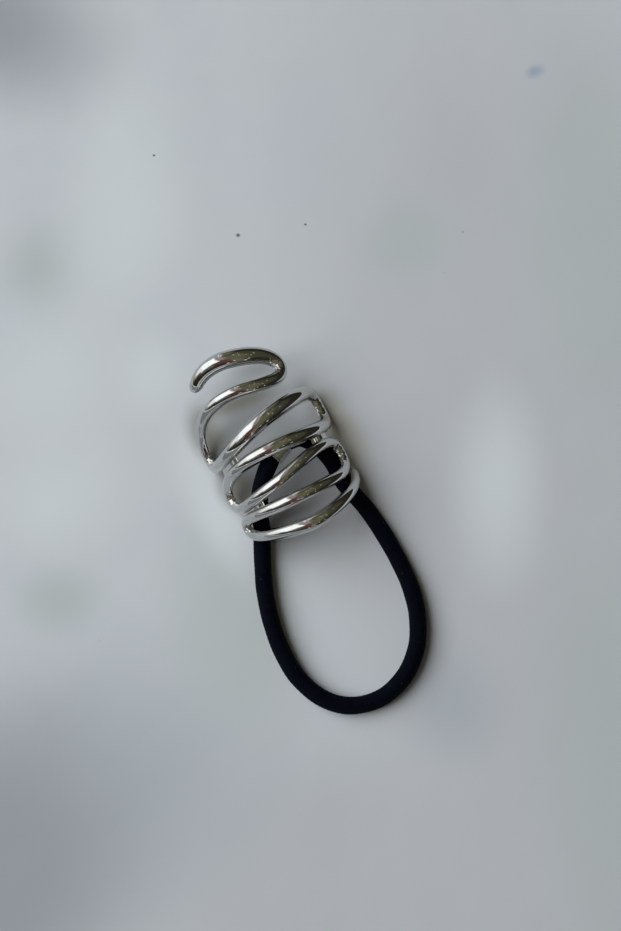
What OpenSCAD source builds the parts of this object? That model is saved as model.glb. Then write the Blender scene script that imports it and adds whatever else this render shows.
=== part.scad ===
// Hair cuff cast as one winding band over an arch, with an elastic loop
// whose two ends meet in a metal sleeve under the middle strand.
// Millimetres. Z up, Y along the cuff, X across it, floor at zero.

/* [Cuff] */
// Arch radius, to the middle of the band's thickness
arch_r = 14.2; // [12:0.1:20]
// Thickness of the band at its crown, where it is 2.4 mm wide
thin_t = 1.75; // [1.2:0.05:3]
// Extra thickness for each millimetre of width beyond that
swell = 0.42; // [0:0.02:0.8]
// Rounding between the band's flat inner face and its domed side
edge_r = 0.25; // [0.1:0.05:0.5]
// Scale of the band's width
width_scale = 1; // [0.8:0.05:1.2]
// Scale of the spacing of the strands along the cuff
pitch_scale = 1; // [0.9:0.05:1.3]

/* [Sleeve] */
// Outer diameter of the sleeve that joins the elastic's ends
sleeve_d = 4.3; // [3.6:0.1:6]
// Small bevel round both ends of the sleeve
sleeve_bevel = 0.2; // [0.1:0.05:0.5]
// Thickness of the soldered web over the sleeve
web_t = 1.6; // [1:0.1:3]

/* [Elastic] */
// Diameter of the covered elastic
cord_d = 4; // [2.5:0.1:5]
// Sides of the elastic's round section
cord_sides = 10; // [8:12]

/* [Joins] */
// Thickness of the metal between turns that run together
join_d = 1.4; // [0.8:0.1:2]

/* [Hidden] */
$fn = 24;

// A row per bend or strand, from the raised free end to the low one:
// [arch angle, along the cuff, heading, reach before, reach after, width].
// Angles are degrees, heading 0 points to +X on the unrolled arch.
ANGLE = 0;
ALONG = 1;
HEADING = 2;
REACH_IN = 3;
REACH_OUT = 4;
WIDTH = 5;
rows = [
  [-42.3,  18.5,   27.0,  2.0,  1.4, 3.15],
  [  0.25, 20.2,  -12.0,  6.2, 10.05, 4.15],
  [ 45.6,  14.25, -94.3,  1.55, 1.75, 3.2],
  [  3.4,  12.45, 169.2,  9.25, 12.65, 3.1],
  [-82.9,   4.95, 255.2,  3.85, 8.4, 2.55],
  [  8.35,  4.85,  10.0,  8.45, 15.9, 3.9],
  [ 82.95,  1.55, -95.8,  6.2,  3.65, 3.15],
  [ 21.2,  -2.15, 177.6,  9.25, 6.9, 3.45],
  [-77.1,  -6.1,  254.2,  5.15, 5.6, 2.55],
  [-10.35, -9.15,   7.2,  9.5,  4.8, 3.0],
  [ 71.1,  -9.35, -95.0,  7.15, 5.35, 2.4],
  [-13.05, -14.0, 177.6, 11.95, 9.85, 3.05],
  [-72.45, -14.1, 250.8,  2.5,  3.9, 2.4],
  [ -4.45, -20.55, -5.6,  1.55, 5.85, 3.35],
  [ 82.65, -14.1,  41.3,  5.55, 2.0, 2.5]
];
steps = 18;

function dir(h) = [cos(h), sin(h)];
function flat_pt(r) = [arch_r * r[ANGLE] * PI / 180, r[ALONG] * pitch_scale];
function bez(a, b, c, d, s) =
  a * pow(1 - s, 3) + b * 3 * s * pow(1 - s, 2) + c * 3 * s * s * (1 - s) + d * pow(s, 3);
function bez_d(a, b, c, d, s) =
  (b - a) * 3 * pow(1 - s, 2) + (c - b) * 6 * s * (1 - s) + (d - c) * 3 * s * s;
function ease(s) = s * s * (3 - 2 * s);

// Stations on the unrolled arch: [place, heading, width, share of full section]
function span(k, s) =
  let(p = rows[k], q = rows[k + 1],
      a = flat_pt(p),
      d = flat_pt(q),
      b = a + p[REACH_OUT] * dir(p[HEADING]),
      c = d - q[REACH_IN] * dir(q[HEADING]),
      t = bez_d(a, b, c, d, s))
  [bez(a, b, c, d, s), atan2(t[1], t[0]),
   (p[WIDTH] + (q[WIDTH] - p[WIDTH]) * ease(s)) * width_scale];
last = len(rows) - 1;
body = concat([for (k = [0 : last - 1], i = [0 : steps - 1]) span(k, i / steps)], [span(last - 1, 1)]);

// Rounded free ends: [distance past the last station, share of full section]
cap = [[1.4, 0.36], [1.22, 0.58], [0.9, 0.8], [0.45, 0.95]];
function moved(st, far, share) = [st[0] + far * dir(st[1]), st[1], st[2], share];
head = [for (c = cap) moved(body[0], -c[0], c[1])];
tail = [for (i = [len(cap) - 1 : -1 : 0]) moved(body[len(body) - 1], cap[i][0], cap[i][1])];
stations = concat(head, [for (s = body) [s[0], s[1], s[2], 1]], tail);

// Domed section: half an ellipse over a flat inner face, whose face lifts
// as the section shrinks so that the free ends close in about their middle.
// The band swells with its width, as a cast one does.
arc_n = 10;
lift = 0.4;
narrow_w = 2.4;
function section(w, share) =
  let(t = thin_t + swell * (w - narrow_w),
      inner = t * (lift * (1 - share) - 0.5))
  concat(
    [for (i = [0 : arc_n])
       let(a = 180 * i / arc_n)
       [share * w / 2 * cos(a), inner + share * (edge_r + (t - edge_r) * sin(a))]],
    [[-share * (w / 2 - edge_r), inner],
     [share * (w / 2 - edge_r), inner]]);

// Roll a station onto the arch
function ring(st) =
  let(f = st[0][0] / arch_r * 180 / PI,
      out = [sin(f), 0, cos(f)],
      right = [cos(f), 0, -sin(f)],
      mid = arch_r * out + [0, st[0][1], 0],
      side = -sin(st[1]) * right + cos(st[1]) * [0, 1, 0])
  [for (p = section(st[2], st[3])) mid + p[0] * side + p[1] * out];
rolled = [for (s = stations) each ring(s)];
low = min([for (p = rolled) p[2]]);
mid_x = (max([for (p = rolled) p[0]]) + min([for (p = rolled) p[0]])) / 2;
mid_y = (max([for (p = rolled) p[1]]) + min([for (p = rolled) p[1]])) / 2;
shift = [-mid_x, -mid_y, -low];

// Closed skin over rings of m points each
function skin(n, m) = concat(
  [[for (j = [0 : m - 1]) j]],
  [for (i = [0 : n - 2], j = [0 : m - 1])
     [i * m + j, (i + 1) * m + j, (i + 1) * m + (j + 1) % m, i * m + (j + 1) % m]],
  [[for (j = [m - 1 : -1 : 0]) (n - 1) * m + j]]);

module band() {
  translate(shift)
    polyhedron(points = rolled, faces = skin(len(stations), arc_n + 3), convexity = 12);
}

// A spot on the arch's middle surface
function on_arch(angle, along, r) = [r * sin(angle), along * pitch_scale, r * cos(angle)] + shift;

// Metal that fills the narrow ends between turns which run together.
// Each fill is a row of ribs: [arch angle, along from, along to].
fills = [
  [[-47,  1.6,  -2.4], [-55,  1.25, -2.75], [-63,   1.0,  -3.3]],
  [[-36, -9.9, -13.55], [-46, -10.1, -13.3], [-56, -10.1, -13.0], [-66, -9.9, -13.0]],
  [[ 48, -2.25, -6.05], [ 57, -2.1,  -6.0]]
];
module rib(r) {
  hull() {
    translate(on_arch(r[0], r[1], arch_r)) sphere(d = join_d);
    translate(on_arch(r[0], r[2], arch_r)) sphere(d = join_d);
  }
}
module turn_fills() {
  for (f = fills, i = [0 : len(f) - 2])
    hull() {
      rib(f[i]);
      rib(f[i + 1]);
    }
}

// The sleeve lies just under the middle strand, a little off the cuff's own cross line
sleeve_mid = [0.8, -3.2, 10.7];
sleeve_turn = 21.5;
sleeve_l = 4;
sleeve_dir = [cos(sleeve_turn), sin(sleeve_turn), 0];
module sleeve() {
  translate(sleeve_mid)
    rotate([0, 90, sleeve_turn])
      hull() {
        cylinder(d = sleeve_d, h = sleeve_l - 2 * sleeve_bevel, center = true);
        cylinder(d = sleeve_d - 2 * sleeve_bevel, h = sleeve_l, center = true);
      }
}

// Solder between the sleeve's back and the strand above it: a row of short
// posts along the sleeve, each sunk a little into the sleeve and the strand
web_n = 6;
web_inset = 0.3;
web_sink = 0.3;
strand_y = -2.4;
module sleeve_web() {
  for (i = [0 : web_n - 1])
    let(s = (i / (web_n - 1) - 0.5) * (sleeve_l - web_t - 2 * web_inset),
        p = sleeve_mid + s * sleeve_dir)
      hull() {
        translate(p + [0, web_sink, sleeve_d / 4]) sphere(d = web_t);
        translate([p[0], (p[1] + strand_y) / 2, arch_r - web_t / 2 - web_sink]) sphere(d = web_t);
      }
}

module spiral_cuff() {
  color([0.78, 0.79, 0.80])
    union() {
      band();
      turn_fills();
      sleeve();
      sleeve_web();
    }
}

// Hair's breadth between the sleeve's end faces and the elastic's
seat = 0.02;

// Route of the elastic, from the sleeve's right end round to its left end
route = [
  sleeve_mid + (sleeve_l / 2 + seat) * sleeve_dir,
  [  5.8,  -2.3,  9.2],
  [  7.7,  -3.6,  7.8],
  [  9.1,  -5.5,  6.2],
  [ 10.0,  -7.7,  4.6],
  [ 10.6, -10.0,  3.3],
  [ 10.7, -12.6,  2.4],
  [ 10.8, -15.4,  2.0],
  [ 11.5, -18.6,  2.0],
  [ 12.6, -23.1,  2.0],
  [ 13.3, -29.6,  2.0],
  [ 13.5, -36.6,  2.0],
  [ 13.0, -43.6,  2.0],
  [ 11.2, -50.1,  2.0],
  [  7.7, -56.0,  2.0],
  [  2.2, -60.3,  2.0],
  [ -4.5, -62.0,  2.0],
  [-11.2, -60.4,  2.0],
  [-16.0, -56.1,  2.0],
  [-18.8, -49.6,  2.0],
  [-19.3, -42.6,  2.0],
  [-18.4, -35.6,  2.0],
  [-16.6, -29.1,  2.0],
  [-14.3, -23.6,  2.0],
  [-12.3, -19.3,  2.0],
  [-10.6, -16.0,  2.5],
  [ -9.7, -13.4,  4.1],
  [ -8.5, -11.0,  5.9],
  [ -6.9,  -8.7,  7.8],
  [ -5.0,  -6.7,  9.3],
  [ -3.1,  -5.1, 10.4],
  sleeve_mid - (sleeve_l / 2 + seat) * sleeve_dir
];
rings = 76;
function unit(v) = v / norm(v);
legs = len(route) - 1;
// How far the elastic runs straight on where it leaves and enters the sleeve
leave = 3.0;
enter = 2.3;
function slope(i) =
  i == 0 ? leave * sleeve_dir :
  i == legs ? enter * sleeve_dir :
  (route[i + 1] - route[i - 1]) / 2;
function spline(i, s) =
  let(a = route[i], d = route[i + 1], m = slope(i), n = slope(i + 1))
  a * (2 * pow(s, 3) - 3 * s * s + 1) + m * (pow(s, 3) - 2 * s * s + s)
  + d * (3 * s * s - 2 * pow(s, 3)) + n * (pow(s, 3) - s * s);
fine = concat([for (i = [0 : legs - 1], k = [0 : 9]) spline(i, k / 10)], [route[legs]]);
function run(i) = i == 0 ? 0 : norm(fine[i] - fine[i - 1]);
way = [for (i = 0, t = 0; i < len(fine); i = i + 1, t = t + (i < len(fine) ? run(i) : 0)) t];
total = way[len(way) - 1];
function at(d, lo = 0, hi = len(fine) - 1) =
  hi - lo <= 1
    ? fine[lo] + (fine[hi] - fine[lo]) * (d - way[lo]) / (way[hi] - way[lo])
    : let(m = floor((lo + hi) / 2)) way[m] <= d ? at(d, m, hi) : at(d, lo, m);
function rest(p) = [p[0], p[1], max(p[2], cord_d / 2)];
centres = [for (i = [0 : rings - 1])
  i == 0 ? route[0] : i == rings - 1 ? route[legs] : rest(at(total * i / (rings - 1)))];
function heading_at(i) =
  i == 0 || i == rings - 1 ? sleeve_dir : unit(centres[i + 1] - centres[i - 1]);
function cord_ring(i) =
  let(t = heading_at(i), x = unit(cross(t, [0, 0, 1])), y = cross(x, t))
  [for (k = [0 : cord_sides - 1])
     let(a = 360 * k / cord_sides)
     centres[i] - cord_d / 2 * (sin(a) * x + cos(a) * y)];

module elastic_loop() {
  color([0.05, 0.05, 0.07])
    polyhedron(
      points = [for (i = [0 : rings - 1]) each cord_ring(i)],
      faces = skin(rings, cord_sides),
      convexity = 10
    );
}

spiral_cuff();
elastic_loop();
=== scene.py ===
# %% [markdown]
# # A spiral hair cuff and its elastic
#
# The real piece is a ponytail ornament: one ribbon of plated metal that winds to and fro over a
# half-round arch, with a short sleeve soldered under it that holds both ends of a black elastic.
# It lies on a sheet of pale paper beside a window. This lesson builds it from a few real sizes
# and short tables, such as one for the ribbon's bends and one for the way the elastic lies.

# %% Load the frame
import math

import bpy
import numpy as np
from mathutils import Matrix, Vector


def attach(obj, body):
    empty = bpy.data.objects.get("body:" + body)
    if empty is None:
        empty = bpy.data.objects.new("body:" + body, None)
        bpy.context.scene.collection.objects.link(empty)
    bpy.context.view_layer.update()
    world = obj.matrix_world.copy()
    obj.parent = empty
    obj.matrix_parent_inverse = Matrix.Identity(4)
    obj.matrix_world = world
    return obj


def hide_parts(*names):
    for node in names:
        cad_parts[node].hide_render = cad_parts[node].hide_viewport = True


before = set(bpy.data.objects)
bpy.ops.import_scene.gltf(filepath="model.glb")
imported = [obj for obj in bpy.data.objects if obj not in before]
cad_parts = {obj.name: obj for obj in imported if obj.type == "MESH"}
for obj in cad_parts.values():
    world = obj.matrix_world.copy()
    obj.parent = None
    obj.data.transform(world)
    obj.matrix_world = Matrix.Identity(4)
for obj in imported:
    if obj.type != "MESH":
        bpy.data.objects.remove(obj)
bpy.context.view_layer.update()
MM = 0.001
rng = np.random.default_rng(7)
print("nodes in the frame:", sorted(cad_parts))

# %% [markdown]
# ## The camera
#
# The view is nearly straight down, from about 300 mm, and leans a little towards the near end of
# the loop. The cuff lies askew in the picture, so the camera is turned about the vertical. A lens
# is easier to get right as a focal length in pixels, which Blender wants in millimetres of sensor.

# %% Camera
PHOTO_WIDTH = 621
PHOTO_HEIGHT = 931
FOCAL_PIXELS = 1305
LOOK_AT = Vector((6.0, -8.12, 0.0)) * MM
DISTANCE = 300 * MM
TURN = math.radians(27.7)
LEAN = math.radians(6.6)
SENSOR_WIDTH = 36
NEAREST_SEEN = 0.01

picture_right = Vector((math.cos(TURN), -math.sin(TURN), 0))
floor_up = Vector((math.sin(TURN), math.cos(TURN), 0))
forward = Vector((0, 0, -math.cos(LEAN))) + math.sin(LEAN) * floor_up
picture_up = math.cos(LEAN) * floor_up + Vector((0, 0, math.sin(LEAN)))

camera_data = bpy.data.cameras.new("camera")
camera_data.sensor_width = SENSOR_WIDTH
camera_data.lens = FOCAL_PIXELS * SENSOR_WIDTH / max(PHOTO_WIDTH, PHOTO_HEIGHT)
camera_data.clip_start = NEAREST_SEEN
camera = bpy.data.objects.new("camera", camera_data)
camera.matrix_world = Matrix.LocRotScale(
    LOOK_AT - DISTANCE * forward,
    Matrix((picture_right, picture_up, -forward)).transposed(),
    None,
)
bpy.context.collection.objects.link(camera)
bpy.context.scene.camera = camera
print("lens", round(camera_data.lens, 2), "mm, camera at", [round(v, 3) for v in camera.location])

# %% [markdown]
# ## Meshes from rings
#
# Ribbon, elastic, sleeve and solder are all the same idea: a closed outline carried along a line.
# So one helper takes an array of rings, each a closed row of points, and joins each to the next.
# Its open ends are closed with a flat face, or left open where the tube is hollow.

# %% A skin over rings
def new_piece(name, points, faces):
    """A smooth-shaded mesh object that rides on the one body of this part."""
    mesh = bpy.data.meshes.new(name)
    mesh.from_pydata([tuple(p) for p in points], [], faces)
    mesh.polygons.foreach_set("use_smooth", [True] * len(mesh.polygons))
    mesh.update()
    piece = bpy.data.objects.new(name, mesh)
    bpy.context.collection.objects.link(piece)
    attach(piece, "root")
    return piece


def ring_faces(rings, sides, first=0, closed_ends=True):
    """Quads between neighbouring rings of points, and one face over each end."""
    faces = []
    for i in range(rings - 1):
        for j in range(sides):
            here = first + i * sides
            there = here + sides
            k = (j + 1) % sides
            faces.append((here + j, here + k, there + k, there + j))
    if closed_ends:
        faces.append(tuple(first + j for j in reversed(range(sides))))
        faces.append(tuple(first + (rings - 1) * sides + j for j in range(sides)))
    return faces


def skin(name, rings, closed_ends=True):
    """A piece from an array of rings, shaped (rings, sides, 3)."""
    rings = np.asarray(rings)
    faces = ring_faces(rings.shape[0], rings.shape[1], closed_ends=closed_ends)
    piece = new_piece(name, rings.reshape(-1, 3), faces)
    print(name, "has", len(piece.data.polygons), "faces")
    return piece


# %% [markdown]
# ## The elastic's way
#
# The elastic leaves the sleeve under the middle strand, slopes down between the turns, lies on
# the paper in one egg-shaped loop and climbs back to the sleeve's other end. Its line goes through
# given points, in millimetres, with a smooth cubic between each two. Everything else about
# the elastic, from its cover to the lint on it, is placed along this one line.

# %% Route of the elastic
CORD_D = 4.0
SLEEVE_MID = np.array([0.8, -3.2, 10.7])
SLEEVE_TURN = math.radians(21.5)
SLEEVE_L = 4.0
SLEEVE_D = 4.3
SEAT = 0.02
sleeve_dir = np.array([math.cos(SLEEVE_TURN), math.sin(SLEEVE_TURN), 0.0])
START_SLOPE = 3.0
END_SLOPE = 2.3

ROUTE = np.array([
    SLEEVE_MID + (SLEEVE_L / 2 + SEAT) * sleeve_dir,
    (5.8, -2.3, 9.2),
    (7.7, -3.6, 7.8),
    (9.1, -5.5, 6.2),
    (10.0, -7.7, 4.6),
    (10.6, -10.0, 3.3),
    (10.7, -12.6, 2.4),
    (10.8, -15.4, 2.0),
    (11.5, -18.6, 2.0),
    (12.6, -23.1, 2.0),
    (13.3, -29.6, 2.0),
    (13.5, -36.6, 2.0),
    (13.0, -43.6, 2.0),
    (11.2, -50.1, 2.0),
    (7.7, -56.0, 2.0),
    (2.2, -60.3, 2.0),
    (-4.5, -62.0, 2.0),
    (-11.2, -60.4, 2.0),
    (-16.0, -56.1, 2.0),
    (-18.8, -49.6, 2.0),
    (-19.3, -42.6, 2.0),
    (-18.4, -35.6, 2.0),
    (-16.6, -29.1, 2.0),
    (-14.3, -23.6, 2.0),
    (-12.3, -19.3, 2.0),
    (-10.6, -16.0, 2.5),
    (-9.7, -13.4, 4.1),
    (-8.5, -11.0, 5.9),
    (-6.9, -8.7, 7.8),
    (-5.0, -6.7, 9.3),
    (-3.1, -5.1, 10.4),
    SLEEVE_MID - (SLEEVE_L / 2 + SEAT) * sleeve_dir,
])


def smooth_line(points, first_slope, last_slope, pieces=24):
    """Points along a cubic through the given ones, close together."""
    slopes = np.empty_like(points)
    slopes[1:-1] = (points[2:] - points[:-2]) / 2
    slopes[0] = first_slope
    slopes[-1] = last_slope
    line = []
    for i in range(len(points) - 1):
        s = np.linspace(0, 1, pieces, endpoint=False)[:, None]
        line.append(
            points[i] * (2 * s**3 - 3 * s**2 + 1)
            + slopes[i] * (s**3 - 2 * s**2 + s)
            + points[i + 1] * (3 * s**2 - 2 * s**3)
            + slopes[i + 1] * (s**3 - s**2)
        )
    return np.vstack([*line, points[-1:]])


def distances(line):
    return np.concatenate([[0], np.cumsum(np.linalg.norm(np.diff(line, axis=0), axis=1))])


def evenly(line, count):
    """The same line as a given number of points, equally far apart."""
    along = distances(line)
    stops = np.linspace(0, along[-1], count)
    return np.stack([np.interp(stops, along, line[:, k]) for k in range(3)], axis=1)


elastic_line = smooth_line(ROUTE, START_SLOPE * sleeve_dir, END_SLOPE * sleeve_dir)
elastic_line[:, 2] = np.maximum(elastic_line[:, 2], CORD_D / 2)


# %% [markdown]
# ## The elastic's cover
#
# A covered elastic is a rubber core in a braided sleeve of fine yarn. Two families of yarn wind
# round it, one each way, and pass over and under in turn. That makes small diamonds, so the
# cover's height is worked out from two numbers, a and b, that count the yarns of each family.
# Where the sum of their whole parts is even the first family lies on top. The yarn is only a
# tenth of a millimetre proud, which real mesh vertices can carry; its filaments are left to the
# material. The ends are squeezed where the sleeve grips them.

# %% Braided cover
YARNS = 12
YARN_STEP = 0.95
YARN_PROUD = 0.13
YARN_DIP = 0.55
COVER_SIDES = 60
COVER_RINGS = 1000
COVER_INSET = 0.02
GRIPPED = 0.84
GRIP_L = 1.6
GRIP_CURVE = 0.6
INTO_SLEEVE = 0.9

# [share of the radius, radians per millimetre, start in radians] of the cover's slow swells
SWELLS = [(0.008, 0.9, 0.0), (0.006, 0.37, 1.0)]


def braid(a, b):
    """How far the upper yarn stands out at a crossing, from 0 in a gap to 1 on a crown."""
    over = (np.floor(a) + np.floor(b)) % 2
    across = np.where(over == 0, a % 1, b % 1)
    lengthwise = np.where(over == 0, b % 1, a % 1)
    crown = np.sqrt(np.clip(1 - (2 * across - 1) ** 2, 0, 1))
    return crown * (1 - YARN_DIP + YARN_DIP * np.sin(np.pi * lengthwise))


def frames_along(line):
    """Unit vectors along the line and across it, one level and one upright."""
    ahead = np.gradient(line, axis=0)
    ahead /= np.linalg.norm(ahead, axis=1)[:, None]
    level = np.cross(ahead, (0, 0, 1))
    level /= np.linalg.norm(level, axis=1)[:, None]
    return ahead, level, np.cross(level, ahead)


def tube_points(line, radius, sides):
    """Rings round a line; radius is one number, or one for each ring and side."""
    ahead, level, upright = frames_along(line)
    turn = np.linspace(0, 2 * np.pi, sides, endpoint=False)
    ring = np.cos(turn)[:, None] * level[:, None] + np.sin(turn)[:, None] * upright[:, None]
    return line[:, None] + np.asarray(radius)[..., None] * ring


def inside_sleeve(line):
    """The line with a short straight stretch added at both ends, as far as the sleeve hides."""
    steps = np.linspace(INTO_SLEEVE, 0.1, 9)[:, None]
    return np.vstack([line[0] - steps * sleeve_dir, line, line[-1] + steps[::-1] * sleeve_dir])


cover_line = evenly(inside_sleeve(elastic_line), COVER_RINGS)
along = distances(cover_line)[:, None]
around = np.linspace(0, 1, COVER_SIDES, endpoint=False)[None, :]
weave = braid(YARNS * around + along / YARN_STEP, YARNS * around - along / YARN_STEP)
to_end = np.minimum(along, along[-1] - along) - INTO_SLEEVE
squeeze = GRIPPED + (1 - GRIPPED) * np.clip(to_end / GRIP_L, 0, 1) ** GRIP_CURVE
swell = 1 + sum(high * np.sin(along * pace + start) for high, pace, start in SWELLS)
core_radius = (CORD_D / 2 - YARN_PROUD) * squeeze * swell - COVER_INSET
cover_radius = core_radius + YARN_PROUD * weave
elastic = skin("elastic_cover", tube_points(cover_line, cover_radius, COVER_SIDES) * MM)


def wrap_map(piece, rings, sides, length):
    """A UV map: once round the tube is 1 across, and a millimetre along it is 1 up."""
    uv = piece.data.uv_layers.new(name="wrap")
    row = np.repeat(np.arange(rings - 1), sides)
    column = np.tile(np.arange(sides), rings - 1)
    u = np.stack([column, column + 1, column + 1, column], axis=1) / sides
    v = np.stack([row, row, row + 1, row + 1], axis=1) * length / (rings - 1)
    corners = np.zeros((len(piece.data.loops), 2))
    corners[: u.size, 0] = u.ravel()
    corners[: v.size, 1] = v.ravel()
    uv.data.foreach_set("uv", corners.ravel())


wrap_map(elastic, COVER_RINGS, COVER_SIDES, along[-1, 0])

# %% [markdown]
# ## Stray fibres and lint
#
# The cover is worn soft: fine black fibres stand off it, and a few pale bits of lint cling to
# its top. Each fibre is a thin three-sided hair that starts on the cover and bends away. They are
# made in one loop and joined into one mesh, because thousands of objects would be slow.

# %% One hair
HAIR_STEPS = 4
HAIR_TWIST = 0.25
HAIR_TAPER = 0.75


def hair(start, tangent, away, length, thick, bend):
    """Rings of one curved, tapering hair with three sides."""
    s = np.linspace(0, 1, HAIR_STEPS + 1)[:, None]
    line = start + length * (s * tangent + bend * s**2 * away)
    line = line + HAIR_TWIST * length * bend * s**3 * np.cross(tangent, away)
    side = np.cross(tangent, away)
    side /= np.linalg.norm(side)
    third = 2 * np.pi * np.arange(3) / 3
    taper = thick / 2 * (1 - HAIR_TAPER * s[:, :, None])
    ring = np.cos(third)[None, :, None] * side + np.sin(third)[None, :, None] * away
    return line[:, None] + taper * ring


def joined_hairs(name, hairs):
    """Many hairs as one piece."""
    points = np.concatenate([h.reshape(-1, 3) for h in hairs])
    faces = []
    first = 0
    for h in hairs:
        faces += ring_faces(h.shape[0], 3, first)
        first += h.shape[0] * 3
    piece = new_piece(name, points * MM, faces)
    print(name, "has", len(hairs), "hairs")
    return piece


# %% Fibres
FIBRES = 900
FIBRE_D = 0.014
FIBRE_LENGTHS = (0.25, 0.95)
FIBRE_BENDS = (-0.5, 0.35)
FIBRE_RISES = (0.05, 0.5)
FIBRE_DRIFT = 0.9
ROOT_DEPTH = 0.05
BARE_RINGS = 20
BELOW_LEVEL = 0.35
cover_ahead, cover_level, cover_upright = frames_along(cover_line)


def on_cover(ring, turn):
    """A point of the cover and the way out of it there, turn in radians from the level side."""
    outward = math.cos(turn) * cover_level[ring] + math.sin(turn) * cover_upright[ring]
    return cover_line[ring] + (CORD_D / 2 - ROOT_DEPTH) * outward, outward


def stray_fibre():
    """A fibre from anywhere on the cover but its underside and its gripped ends."""
    ring = rng.integers(BARE_RINGS, COVER_RINGS - BARE_RINGS)
    turn = rng.uniform(-BELOW_LEVEL, np.pi + BELOW_LEVEL)
    start, outward = on_cover(ring, turn)
    ahead = cover_ahead[ring]
    drift = rng.uniform(-1, 1) * ahead + rng.uniform(-0.8, 0.8) * np.cross(outward, ahead)
    drift = drift / np.linalg.norm(drift) * FIBRE_DRIFT
    tangent = drift + outward * rng.uniform(*FIBRE_RISES)
    tangent /= np.linalg.norm(tangent)
    length = rng.uniform(*FIBRE_LENGTHS)
    return hair(start, tangent, outward, length, FIBRE_D, rng.uniform(*FIBRE_BENDS))


fibres = joined_hairs("elastic_fibres", [stray_fibre() for _ in range(FIBRES)])

# %% [markdown]
# The lint is made of the same hairs, thicker and paler. Where each bit lies is seen on the real
# piece, so the six places are a short table instead of random numbers.

# %% Lint
LINT_D = 0.035
LINT_BEND = -0.15
LINT_SPREAD = (-1.1, 0.2, 1.3)
LINT_REACH = 0.6
LINT_LIFT = 0.05

# [share of the way along the cover, turn in degrees from the level side, size in mm]
LINT = [
    (0.222, 128, 0.55),
    (0.141, 96, 0.4),
    (0.30, 70, 0.35),
    (0.47, 100, 0.5),
    (0.66, 60, 0.4),
    (0.80, 105, 0.45),
]


def lint_hairs(share, turn, size):
    """A small tangle: three short pale hairs from one spot."""
    ring = round(share * (COVER_RINGS - 1))
    start, outward = on_cover(ring, math.radians(turn))
    start = start + LINT_LIFT * outward
    ahead = cover_ahead[ring]
    tangle = []
    for spread in LINT_SPREAD:
        flat = math.cos(spread) * ahead + math.sin(spread) * np.cross(outward, ahead)
        tangle.append(hair(start, flat, outward, size * LINT_REACH, LINT_D, LINT_BEND))
    return tangle


lint = joined_hairs("elastic_lint", [h for row in LINT for h in lint_hairs(*row)])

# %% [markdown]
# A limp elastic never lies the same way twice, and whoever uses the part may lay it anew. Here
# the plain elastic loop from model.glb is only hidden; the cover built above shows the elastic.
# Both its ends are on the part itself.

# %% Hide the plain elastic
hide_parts("elastic_loop")

# %% [markdown]
# ## The winding ribbon
#
# The cuff is one ribbon with a domed back and a flat inner face. A piece like this can be cast
# flat and bent over a mandrel, and it is drawn that way here: the path is made on the unrolled
# arch, from one row of numbers for each bend and each strand, and then rolled up. A row says where
# the ribbon is, which way it heads, how far that heading reaches before and after, and how wide it
# is. Between two rows runs one cubic curve.

# %% Rows of the ribbon
ARCH_R = 14.2
EDGE_R = 0.25
ARCH_SHIFT = np.array([-0.056, -0.161, -0.019])

# [arch angle, along the cuff, heading, reach before, reach after, width]
ROWS = np.array([
    (-42.3, 18.5, 27, 2.0, 1.4, 3.15),
    (0.25, 20.2, -12, 6.2, 10.05, 4.15),
    (45.6, 14.25, -94.3, 1.55, 1.75, 3.2),
    (3.4, 12.45, 169.2, 9.25, 12.65, 3.1),
    (-82.9, 4.95, 255.2, 3.85, 8.4, 2.55),
    (8.35, 4.85, 10, 8.45, 15.9, 3.9),
    (82.95, 1.55, -95.8, 6.2, 3.65, 3.15),
    (21.2, -2.15, 177.6, 9.25, 6.9, 3.45),
    (-77.1, -6.1, 254.2, 5.15, 5.6, 2.55),
    (-10.35, -9.15, 7.2, 9.5, 4.8, 3.0),
    (71.1, -9.35, -95, 7.15, 5.35, 2.4),
    (-13.05, -14.0, 177.6, 11.95, 9.85, 3.05),
    (-72.45, -14.1, 250.8, 2.5, 3.9, 2.4),
    (-4.45, -20.55, -5.6, 1.55, 5.85, 3.35),
    (82.65, -14.1, 41.3, 5.55, 2.0, 2.5),
])
FIRST_TIP = 1.2
LAST_TIP = 1.4
PATH_STEP = 0.1
PATH_SOFTNESS = 0.45
CURVE_STEPS = 200
print("the ribbon has", len(ROWS), "rows")


# %% Ribbon path on the unrolled arch
def flat_place(row):
    return np.array([ARCH_R * math.radians(row[0]), row[1]])


def flat_heading(row):
    return np.array([math.cos(math.radians(row[2])), math.sin(math.radians(row[2]))])


def softened(values):
    """Values along the path, evened out with a bell of PATH_SOFTNESS millimetres."""
    reach = round(3 * PATH_SOFTNESS / PATH_STEP)
    bell = np.exp(-0.5 * (np.arange(-reach, reach + 1) * PATH_STEP / PATH_SOFTNESS) ** 2)
    before = 2 * values[0] - values[reach:0:-1]
    after = 2 * values[-1] - values[-2 : -reach - 2 : -1]
    return np.convolve(np.concatenate([before, values, after]), bell / bell.sum(), "valid")


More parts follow.
